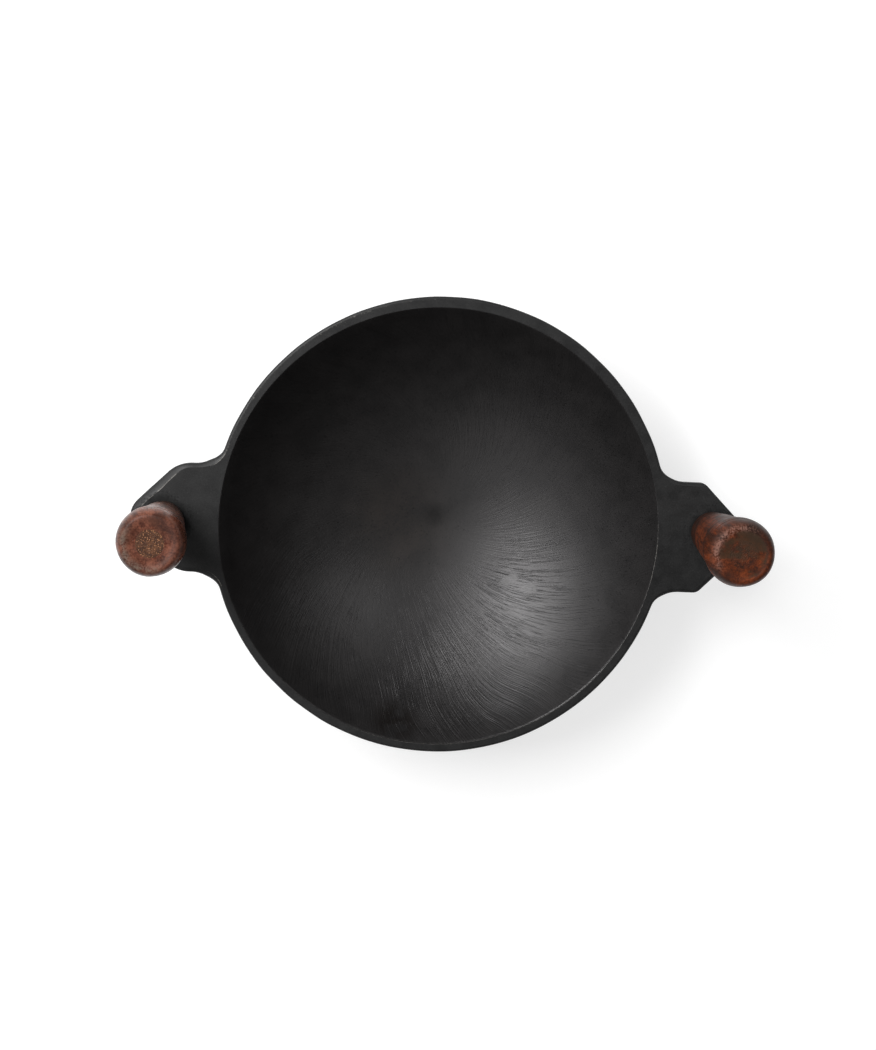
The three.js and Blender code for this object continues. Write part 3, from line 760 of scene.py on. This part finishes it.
def turned_wood(
    name, centre_x, deep, pale, dark_share, shaded_heading, wear_and_sheen_tone, wear_and_sheen_heading, smear_share, gloss
):
    """Hardwood read along its grain: noise stretched up the handle gives figure, fibres and pores, which
    show end on in the knob's face. The varnish is dark in patches and the wood darker towards the base,
    and one side is darkened as painted shade. The edge of the end is rubbed dull and paler on one side,
    where it gets knocked, with a painted sheen there on the right grip; stain is smeared across the face."""
    material, shader, where = new_finish(name)
    local = vector_calc("SUBTRACT", where, (centre_x, 0, 0))
    x, y, z = add_node("SeparateXYZ", {0: local}).outputs
    radius = axis_radius(x, y)
    along = vector_calc("MULTIPLY", local, ALONG_GRAIN)
    figure = blotches(along, 5 * MM, 4, 0.6)
    fibre = blotches(along, 1.1 * MM, 3, 0.6)
    pores = add_node("TexVoronoi", {"Vector": along, "Scale": 1 / (1.0 * MM), "Randomness": 0.9})
    pores = band(pores.outputs["Distance"], 0.18, 0.34, 1, 0)
    pores = times(pores, band(blotches(local, 3 * MM, 2), 0.42, 0.60))
    lathe = add_node("TexNoise", {"W": z, "Scale": 1 / (0.7 * MM), "Detail": 2}, noise_dimensions="1D")
    patch = blotches(local, 7.5 * MM, 4, 0.6)
    shade = blotches(local, 11 * MM, 3)

    tone = plus(times(figure, 0.55), times(fibre, 0.45))
    colour = mix_colour(band(tone, 0.34, 0.66), deep, pale)
    colour = mix_colour(times(band(shade, 0.38, 0.66), dark_share), colour, WOOD_DARK)
    colour = mix_colour(times(pores, 0.6), colour, WOOD_DARK)
    base = band(z, RIM_HEIGHT + 2 * MM, RIM_HEIGHT + 41 * MM, 0.85, 0)
    colour = mix_colour(base, colour, WOOD_DARK)
    # One side of the handle is darkened as painted shade.
    toward_shade = vector_calc("DOT_PRODUCT", local, shaded_heading)
    colour = mix_colour(band(toward_shade, 6 * MM, 17 * MM, 0, 0.85), colour, WOOD_DARK)
    edge = edge_wear_and_glint(shader)
    # The end's edge is paler on one side where it is rubbed; on the right grip this is also a painted
    # sheen.
    facing = vector_calc("DOT_PRODUCT", local, wear_and_sheen_heading)
    facing = band(calc("DIVIDE", facing, radius), -0.1, 0.75)
    ragged = plus(times(patch, 0.4), times(fibre, 0.6))
    rubbed = times(edge, facing, band(ragged, 0.42, 0.58))
    colour = mix_colour(times(rubbed, 0.75), colour, wear_and_sheen_tone)
    face = band(z, GRIP_TOP - 0.9 * MM, GRIP_TOP - 0.65 * MM)
    face = times(face, band(radius, 11.8 * MM, 13.2 * MM, 1, 0))
    daub = times(face, brushed_stain(local), smear_share)
    colour = mix_colour(daub, colour, STAIN_COLOUR)
    rough = plus(band(patch, 0.3, 0.7, *gloss), times(edge, 0.25))
    on_side = band(z, GRIP_TOP - 2 * MM, GRIP_TOP - 1 * MM, 0.5, 0)
    turned_lines = times(lathe.outputs["Fac"], on_side)
    height = plus(minus(turned_lines, times(pores, 0.4)), patch)
    dress(shader, colour, rough, height, WOOD_RELIEF, WOOD_SHINE)
    return material


wood = {
    "left": turned_wood(
        "left_grip_wood",
        SIDES["left"],
        deep=(0.049, 0.0145, 0.0095, 1),
        pale=(0.182, 0.065, 0.039, 1),
        dark_share=0.6,
        shaded_heading=(0.5, 0.1, 0),
        wear_and_sheen_tone=(0.125, 0.098, 0.075, 1),
        wear_and_sheen_heading=(-0.75, -0.66, 0),
        smear_share=0.0,
        gloss=(0.22, 0.40),
    ),
    "right": turned_wood(
        "right_grip_wood",
        SIDES["right"],
        deep=(0.030, 0.0072, 0.0026, 1),
        pale=(0.155, 0.032, 0.0078, 1),
        dark_share=0.85,
        shaded_heading=(0.4, 0.92, 0),
        wear_and_sheen_tone=(0.24, 0.125, 0.096, 1),
        wear_and_sheen_heading=(-0.71, 0.71, 0),
        smear_share=0.75,
        gloss=(0.42, 0.60),
    ),
}
for seed, (side, centre_x) in enumerate(SIDES.items(), start=11):
    grip_low, grip_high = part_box(side + "_grip")
    radius, height = grip_profile(GRIP_END_STEP[side], GRIP_GROOVE_DEPTH[side], grip_high.z - grip_low.z)
    outside = smoothstep((radius[:, None] - GRIP_DISH_RADIUS) / GRIP_FLATS_REACH)
    flats = GRIP_FLATS * wander(full_turn(GRIP_COLUMNS), slowest=1, fastest=5, seed=seed) * outside
    rows = lathe_rows(0, radius, grip_low.z + height, GRIP_COLUMNS)
    rows[..., :2] *= 1 - (flats / radius[:, None])[..., None]
    rows[..., 0] += centre_x
    grip_mesh = ring_mesh(side + "_grip_surface", rows, loop=True)
    grip_mesh.set_sharp_from_angle(angle=CREASE)
    at_end = height > grip_high.z - grip_low.z - GRIP_WEAR_REACH
    edge = np.exp(-(((radius - GRIP_END_RADIUS) / GRIP_WEAR_WIDTH) ** 2)) * at_end
    row_attribute(grip_mesh, "edge_wear_and_glint", np.repeat(edge[:, None], GRIP_COLUMNS, 1), loop=True)
    place_piece(grip_mesh, [wood[side]], side + "_grip")

# Bolts, washers and nuts
# Each grip is clamped by a long M6 hexagon bolt: its head sits on a washer in the pocket of the grip,
# and its thread ends in a second washer and a nut under the lug. All are zinc plated steel.
BOLT_RADIUS = 3 * MM
HEX_ACROSS_FLATS = 10 * MM
HEX_FACE_SHARE = 0.94
NUT_BORE = 3.15 * MM
WASHER_BORE = 3.2 * MM
WASHER_EDGE = 0.25 * MM
THREAD_PITCH = 1 * MM
THREAD_DEPTH = 0.55 * MM
THREAD_LENGTH = 26 * MM
TIP_CHAMFER = 0.6 * MM
THREAD_STEPS = 8
HEX_FACE_RINGS = 4
HEX_SIDE_RINGS = 9
SHANK_RINGS = 6
ROUND_RINGS = 5
BOLT_COLUMNS = 48
WASHER_COLUMNS = 64
NUT_COLUMNS = 72
ZINC_RELIEF = 0.015 * MM
ZINC_DULL = (0.42, 0.41, 0.39, 1)
ZINC_BRIGHT = (0.60, 0.61, 0.62, 1)


def hexagon(around):
    """Distance from the centre to the side of a hexagon, for each angle round it."""
    sixth = np.pi / 3
    return HEX_ACROSS_FLATS / 2 / np.cos((around + sixth / 2) % sixth - sixth / 2)


def hex_rows(centre_x, low_z, high_z, inner_top, inner_low, columns):
    """Rings of a hexagonal head or nut from an inner radius on top, over the coned top edge, down the
    flats, round the coned lower edge and in to an inner radius below."""
    face = HEX_FACE_SHARE * HEX_ACROSS_FLATS / 2
    flats = high_z + (low_z - high_z) * np.linspace(0, 1, HEX_SIDE_RINGS)
    height = np.concatenate([[high_z] * HEX_FACE_RINGS, flats, [low_z] * HEX_FACE_RINGS])
    from_end = np.minimum(high_z - height, height - low_z)
    cone = face + from_end * np.tan(np.pi / 3)
    side = np.minimum(hexagon(full_turn(columns))[None], cone[:, None])
    side[:HEX_FACE_RINGS] = np.linspace(inner_top, face, HEX_FACE_RINGS + 1)[:-1, None]
    side[-HEX_FACE_RINGS:] = np.linspace(face, inner_low, HEX_FACE_RINGS + 1)[1:, None]
    return lathe_rows(centre_x, side, height, columns)


def bolt_rows(centre_x, tip_z, head_low_z, head_high_z, columns):
    """Rings of a bolt: its head, a plain shank, and a thread whose radius falls and rises with height and
    angle together, one pitch for each turn, fading in at its upper end and out at the tip's chamfer."""
    head = hex_rows(centre_x, head_low_z, head_high_z, 0, BOLT_RADIUS, columns)
    thread_z = tip_z + THREAD_LENGTH
    shank_z = np.linspace(head_low_z, thread_z, SHANK_RINGS)[1:]
    count = int(THREAD_LENGTH / THREAD_PITCH * THREAD_STEPS)
    height = np.append(shank_z, np.linspace(thread_z, tip_z, count)[1:])
    turn_share = height[:, None] / THREAD_PITCH - full_turn(columns)[None] / (2 * np.pi)
    groove = 1 - np.abs(2 * (turn_share % 1) - 1)
    fade = smoothstep((thread_z - height) / (2 * THREAD_PITCH))[:, None]
    radius = BOLT_RADIUS - THREAD_DEPTH * groove * fade
    radius = np.minimum(radius, (BOLT_RADIUS - TIP_CHAMFER + (height - tip_z))[:, None])
    end = np.linspace(1, 0, ROUND_RINGS)[1:, None] * radius[-1:]
    radius = np.vstack([radius, end])
    height = np.append(height, [tip_z] * len(end))
    return np.concatenate([head, lathe_rows(centre_x, radius, height, columns)])


def washer_rows(centre_x, box_low, box_high, columns):
    """Rings of a flat washer with its edges rounded over, once round its section."""
    outer = (box_high.x - box_low.x) / 2
    bend = np.linspace(0, QUARTER, ROUND_RINGS)
    inward = WASHER_EDGE * (1 - np.cos(bend))
    short = WASHER_EDGE * (1 - np.sin(bend))
    bore = WASHER_BORE
    radius = np.concatenate([bore + inward, outer - inward[::-1], outer - inward, bore + inward[::-1]])
    top, low = box_high.z, box_low.z
    height = np.concatenate([top - short, top - short[::-1], low + short, low + short[::-1]])
    return lathe_rows(centre_x, radius, height, columns)


def zinc_plate():
    """Bright zinc over steel: a pale metal with cloudy patches and fine wear."""
    material, shader, where = new_finish("zinc_plate")
    cloud = blotches(where, 3.3 * MM, 4, 0.6)
    colour = mix_colour(band(cloud, 0.35, 0.65), ZINC_DULL, ZINC_BRIGHT)
    shader.inputs["Metallic"].default_value = 1
    rough = band(cloud, 0.3, 0.7, 0.28, 0.46)
    dress(shader, colour, rough, blotches(where, 0.4 * MM), ZINC_RELIEF)
    return material


zinc = zinc_plate()
for side, centre_x in SIDES.items():
    bolt_low, bolt_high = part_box(side + "_bolt")
    head_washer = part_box(side + "_head_washer")
    lug_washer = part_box(side + "_lug_washer")
    nut_low, nut_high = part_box(side + "_nut")
    fastener_rows = {
        "_bolt": bolt_rows(centre_x, bolt_low.z, head_washer[1].z, bolt_high.z, BOLT_COLUMNS),
        "_head_washer": washer_rows(centre_x, *head_washer, WASHER_COLUMNS),
        "_lug_washer": washer_rows(centre_x, *lug_washer, WASHER_COLUMNS),
        "_nut": hex_rows(centre_x, nut_low.z, nut_high.z, NUT_BORE, NUT_BORE, NUT_COLUMNS),
    }
    for part, rows in fastener_rows.items():
        mesh = ring_mesh(side + part + "_surface", rows, loop=part != "_bolt")
        mesh.set_sharp_from_angle(angle=CREASE)
        place_piece(mesh, [zinc], side + part)

# End plugs
# The pocket over each bolt head is closed with a plug of wood filler, pressed in flush and left rough.
# The left one shows its golden crumbs, the right one is stained brown with the face round it.
PLUG_RELIEF = 0.2 * MM
PLUG_FIT = 0.02 * MM
PLUG_RINGS = 40
PLUG_BACK_RINGS = 6
PLUG_FLUSH_SHARE = 0.86
PLUG_CREASE = np.radians(60)
CRUMB_RELIEF = 0.12 * MM
CRUMB_WAVES = 40
CRUMB_SIZES = (0.7 * MM, 1.8 * MM)
CRUMB_GAP = (0.014, 0.006, 0.003, 1)


def grain_relief(flat, seed):
    """A granular height from nought to one: a sum of waves with random directions and short lengths."""
    rng = np.random.default_rng(seed)
    heading = rng.uniform(0, 2 * np.pi, CRUMB_WAVES)
    number = 2 * np.pi / rng.uniform(*CRUMB_SIZES, CRUMB_WAVES)
    waves = np.stack([np.cos(heading), np.sin(heading)]) * number
    field = np.cos(flat @ waves + rng.uniform(0, 2 * np.pi, CRUMB_WAVES)).sum(-1)
    return (field - field.min()) / (field.max() - field.min())


def filler(name, centre_x, dark, mid, bright, core, smear_share):
    """Wood filler: crumbs of dust in resin, each of its own shade, with dark gaps between them and a spot
    of another tone near the middle."""
    material, shader, where = new_finish(name)
    crumbs = add_node("TexVoronoi", {"Vector": where, "Scale": 1 / (0.45 * MM), "Randomness": 1.0})
    shade = add_node("SeparateColor", {0: crumbs.outputs["Color"]}).outputs[0]
    patch = blotches(where, 2.4 * MM, 3)
    colour = mix_colour(band(patch, 0.35, 0.65), dark, mid)
    middle = (centre_x + 1 * MM, -1.5 * MM, GRIP_TOP)
    spot = times(near_place(where, middle, 1.2 * MM, 4.2 * MM), band(patch, 0.35, 0.6))
    colour = mix_colour(times(spot, 0.8), colour, core)
    colour = mix_colour(band(shade, 0.82, 0.98, 0, 0.9), colour, bright)
    gaps = band(crumbs.outputs["Distance"], 0.45, 0.8)
    colour = mix_colour(times(gaps, 0.5), colour, CRUMB_GAP)
    local = vector_calc("SUBTRACT", where, (centre_x, 0, 0))
    colour = mix_colour(times(brushed_stain(local), smear_share), colour, STAIN_COLOUR)
    rough = band(shade, 0.0, 1.0, 0.75, 0.45)
    dress(shader, colour, rough, minus(1.0, crumbs.outputs["Distance"]), CRUMB_RELIEF, WOOD_SHINE)
    return material


fillers = {
    "left": filler(
        "left_plug_filler",
        SIDES["left"],
        dark=(0.050, 0.020, 0.010, 1),
        mid=(0.092, 0.037, 0.018, 1),
        bright=(0.34, 0.150, 0.066, 1),
        core=(0.115, 0.048, 0.022, 1),
        smear_share=0.0,
    ),
    "right": filler(
        "right_plug_filler",
        SIDES["right"],
        dark=(0.030, 0.008, 0.003, 1),
        mid=(0.085, 0.019, 0.006, 1),
        bright=(0.13, 0.032, 0.009, 1),
        core=(0.15, 0.030, 0.007, 1),
        smear_share=0.75,
    ),
}
for seed, (side, centre_x) in enumerate(SIDES.items(), start=7):
    plug_low, plug_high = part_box(side + "_end_plug")
    across = np.linspace(0, 1, PLUG_RINGS)
    share = np.concatenate([across, [1, 1], np.linspace(1, 0, PLUG_BACK_RINGS)[1:]])
    middle_z = (plug_low.z + plug_high.z) / 2
    face_z = np.full(PLUG_RINGS, plug_high.z)
    height = np.concatenate([face_z, [middle_z], np.full(PLUG_BACK_RINGS, plug_low.z)])
    rows = lathe_rows(centre_x, (POCKET_RADIUS - PLUG_FIT) * share, height, GRIP_COLUMNS)
    flush = 1 - smoothstep((across[:, None] - PLUG_FLUSH_SHARE) / (1 - PLUG_FLUSH_SHARE))
    relief = grain_relief(rows[:PLUG_RINGS, :, :2], seed) - 0.5
    rows[:PLUG_RINGS, :, 2] += PLUG_RELIEF * relief * flush
    rows[0, :, 2] = rows[0, 0, 2]
    plug = ring_mesh(side + "_end_plug_surface", rows)
    plug.set_sharp_from_angle(angle=PLUG_CREASE)
    place_piece(plug, [fillers[side]], side + "_end_plug")

# Floor and light
# A plain pale floor whose far sides rise, so that it fills the background of low views too. A long soft
# light stands at the back left, a square weaker one at the back right and two large faint ones in front.
FLOOR_HALF = 5.0
FAR_HALF = 40.0
FAR_RISE = 1.2
FLOOR_GREY = (0.42, 0.42, 0.42, 1)
FLOOR_ROUGHNESS = 0.9
FLOOR_GLOW = 0.68
ROOM_GLOW = 0.02
WHITE = (1, 1, 1, 1)
corners = np.array([(-1, -1), (1, -1), (1, 1), (-1, 1)])
flat = np.column_stack([corners * FLOOR_HALF, np.zeros(4)])
risen = np.column_stack([corners * FAR_HALF, np.full(4, FAR_RISE)])
floor_mesh = bpy.data.meshes.new("floor")
edges = np.arange(4)
after = (edges + 1) % 4
slopes = np.stack([edges, edges + 4, after + 4, after], -1)
floor_mesh.from_pydata(np.vstack([flat, risen]).tolist(), [], [(0, 1, 2, 3), *slopes.tolist()])
floor = bpy.data.objects.new("floor", floor_mesh)
bpy.context.scene.collection.objects.link(floor)
floor_paint, floor_shader, _ = new_finish("floor_paint")
floor_shader.inputs["Base Color"].default_value = FLOOR_GREY
floor_shader.inputs["Roughness"].default_value = FLOOR_ROUGHNESS
floor_shader.inputs["Emission Color"].default_value = WHITE
floor_shader.inputs["Emission Strength"].default_value = FLOOR_GLOW
floor_mesh.materials.append(floor_paint)

BOWL_CENTRE = Vector((0, 0, RIM_HEIGHT))


def soft_light(name, heading, rise, distance, width, length, power, roll=0):
    """A rectangular soft light that looks at the bowl from a heading and a rise, rolled about its own axis,
    all in degrees."""
    heading, rise, roll = np.radians([heading, rise, roll])
    level = np.cos(rise)
    direction = Vector((level * np.cos(heading), level * np.sin(heading), np.sin(rise)))
    lamp = bpy.data.lights.new(name, "AREA")
    lamp.shape = "RECTANGLE"
    lamp.size = width
    lamp.size_y = length
    lamp.energy = power
    light = bpy.data.objects.new(name, lamp)
    light.location = BOWL_CENTRE + direction * distance
    turned = direction.to_track_quat("Z", "Y") @ Quaternion((0, 0, 1), roll)
    light.rotation_euler = turned.to_euler()
    bpy.context.scene.collection.objects.link(light)


soft_light("key_light", heading=140, rise=48.4, distance=1.8, width=0.6, length=1.4, power=47.0, roll=130)
soft_light("fill_light", heading=42, rise=46, distance=2.0, width=1.0, length=1.0, power=6.8)
soft_light("front_left_light", heading=230, rise=50, distance=2.0, width=1.4, length=1.4, power=6.2)
soft_light("front_right_light", heading=320, rise=52, distance=2.0, width=1.4, length=1.4, power=1.3)
world = bpy.data.worlds.new("studio")
world.use_nodes = True
room = world.node_tree.nodes["Background"]
room.inputs["Color"].default_value = WHITE
room.inputs["Strength"].default_value = ROOM_GLOW
bpy.context.scene.world = world
bpy.context.scene.view_settings.view_transform = "Standard"

# Camera
# The photograph looks down on the pan from above its back left edge, a little off the vertical.
IMAGE_LONG_SIDE = 1050
FOCAL_PIXELS = 2043
CAMERA_DISTANCE = 1.1278
CAMERA_TILT_X = np.radians(-3.41)
CAMERA_TILT_Y = np.radians(7.35)
CAMERA_ROLL = np.radians(1.55)
AIM = Vector((-0.92 * MM, 1.45 * MM, RIM_HEIGHT))
SENSOR = 36

camera_back = Vector((np.sin(CAMERA_TILT_X), np.sin(CAMERA_TILT_Y), 0))
camera_back.z = np.sqrt(1 - camera_back.length_squared)
up_hint = Vector((-np.sin(CAMERA_ROLL), np.cos(CAMERA_ROLL), 0))
image_right = up_hint.cross(camera_back).normalized()
image_up = camera_back.cross(image_right)
turn = Matrix((image_right, image_up, camera_back)).transposed()
lens = bpy.data.cameras.new("camera")
lens.sensor_width = SENSOR
lens.lens = FOCAL_PIXELS / IMAGE_LONG_SIDE * SENSOR
camera = bpy.data.objects.new("camera", lens)
camera.matrix_world = Matrix.Translation(AIM + camera_back * CAMERA_DISTANCE) @ turn.to_4x4()
bpy.context.scene.collection.objects.link(camera)
bpy.context.scene.camera = camera
